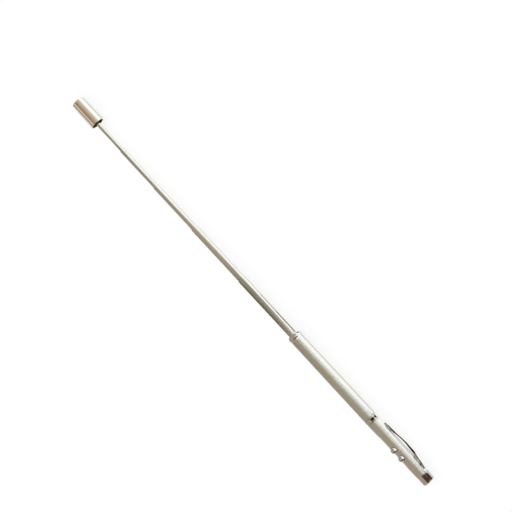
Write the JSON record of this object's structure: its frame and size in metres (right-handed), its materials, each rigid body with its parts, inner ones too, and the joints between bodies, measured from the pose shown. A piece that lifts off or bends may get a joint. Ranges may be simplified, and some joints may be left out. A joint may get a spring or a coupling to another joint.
{
  "type": "telescopic laser pointer pen",
  "caption": "Slim metal pen with laser and lamp in the tail, ball-topped push buttons, sprung clip, telescopic pointer and a pull-off cap over a ballpoint tip.",
  "frame": {"origin": "centre of the tail cap's flat end face, on the barrel's axis", "axes": "+X along the barrel towards the pen cap, +Z out through the two push buttons, the clip low on the -Y side"},
  "size_m": [0.3381, 0.0117, 0.012],
  "materials": {
    "champagne_coating": "satin metallic champagne",
    "chrome": "polished",
    "tube_plating": "polished nickel, warm",
    "brass": "machined",
    "steel": "bright",
    "nickel": "nickel plated",
    "board": "solder-masked",
    "black_plastic": "moulded",
    "white_plastic": "moulded",
    "clear": "clear"
  },
  "bodies": {
    "rear_half": {"rear_barrel": "champagne_coating", "tail_cap": "chrome", "laser_housing": "brass", "lens_nut": "brass", "laser_lens": "clear", "focus_spring": "steel", "laser_diode": "nickel", "white_lamp": "clear", "circuit_board": "board", "board_carrier": "black_plastic", "lamp_switch": "steel", "laser_switch": "steel", "lamp_resistor": "black_plastic", "laser_resistor": "black_plastic", "battery_contact": "brass", "button_cell_1": "nickel", "button_cell_2": "nickel", "button_cell_3": "nickel", "battery_sleeve": "white_plastic"},
    "clip_body": {"clip": "chrome"},
    "lamp_push": {"lamp_button": "chrome", "lamp_switch_plunger": "black_plastic"},
    "laser_push": {"laser_button": "chrome", "laser_switch_plunger": "black_plastic"},
    "front_half": {"front_barrel": "champagne_coating", "middle_ring": "chrome", "barrel_coupling": "brass", "battery_spring": "steel", "front_ferrule": "chrome"},
    "section_5": {"tube_5": "tube_plating", "slide_bush_5": "brass"},
    "section_4": {"tube_4": "tube_plating", "slide_bush_4": "brass"},
    "section_3": {"tube_3": "tube_plating", "slide_bush_3": "brass"},
    "section_2": {"tube_2": "tube_plating", "slide_bush_2": "brass"},
    "section_1": {"tube_1": "tube_plating", "slide_bush_1": "brass", "nib": "chrome", "refill_tube": "white_plastic", "refill_tip": "brass", "refill_ball": "steel"},
    "pen_cap": {"cap_shell": "chrome", "cap_liner": "black_plastic"}
  },
  "joints": [
    {"name": "lamp_button_press", "type": "slide", "parent": "rear_half", "child": "lamp_push", "axis": [0, 0, -1], "range_m": [0, 0.0005], "stiffness_N_per_m": 1000, "springref_m": -0.0004},
    {"name": "laser_button_press", "type": "slide", "parent": "rear_half", "child": "laser_push", "axis": [0, 0, -1], "range_m": [0, 0.0005], "stiffness_N_per_m": 1000, "springref_m": -0.0004},
    {"name": "clip_flex", "type": "hinge", "parent": "rear_half", "child": "clip_body", "pos_m": [0.0084, -0.00377, -0.00219], "axis": [0, 0.503, -0.8643], "range_deg": [0, 4], "stiffness_Nm_per_rad": 1, "springref_deg": -1.72},
    {"name": "barrel_unscrew", "type": "slide", "parent": "rear_half", "child": "front_half", "axis": [1, 0, 0], "range_m": [0, 0.008]},
    {"name": "section_5_slide", "type": "slide", "parent": "front_half", "child": "section_5", "axis": [1, 0, 0], "range_m": [-0.0475, 0.005]},
    {"name": "section_4_slide", "type": "slide", "parent": "section_5", "child": "section_4", "axis": [1, 0, 0], "range_m": [-0.0446, 0.0132]},
    {"name": "section_3_slide", "type": "slide", "parent": "section_4", "child": "section_3", "axis": [1, 0, 0], "range_m": [-0.0359, 0.0196]},
    {"name": "section_2_slide", "type": "slide", "parent": "section_3", "child": "section_2", "axis": [1, 0, 0], "range_m": [-0.0319, 0.0213]},
    {"name": "section_1_slide", "type": "slide", "parent": "section_2", "child": "section_1", "axis": [1, 0, 0], "range_m": [-0.0298, 0.0211]},
    {"name": "cap_pull_off", "type": "slide", "parent": "section_1", "child": "pen_cap", "axis": [1, 0, 0], "range_m": [0, 0.022]}
  ]
}
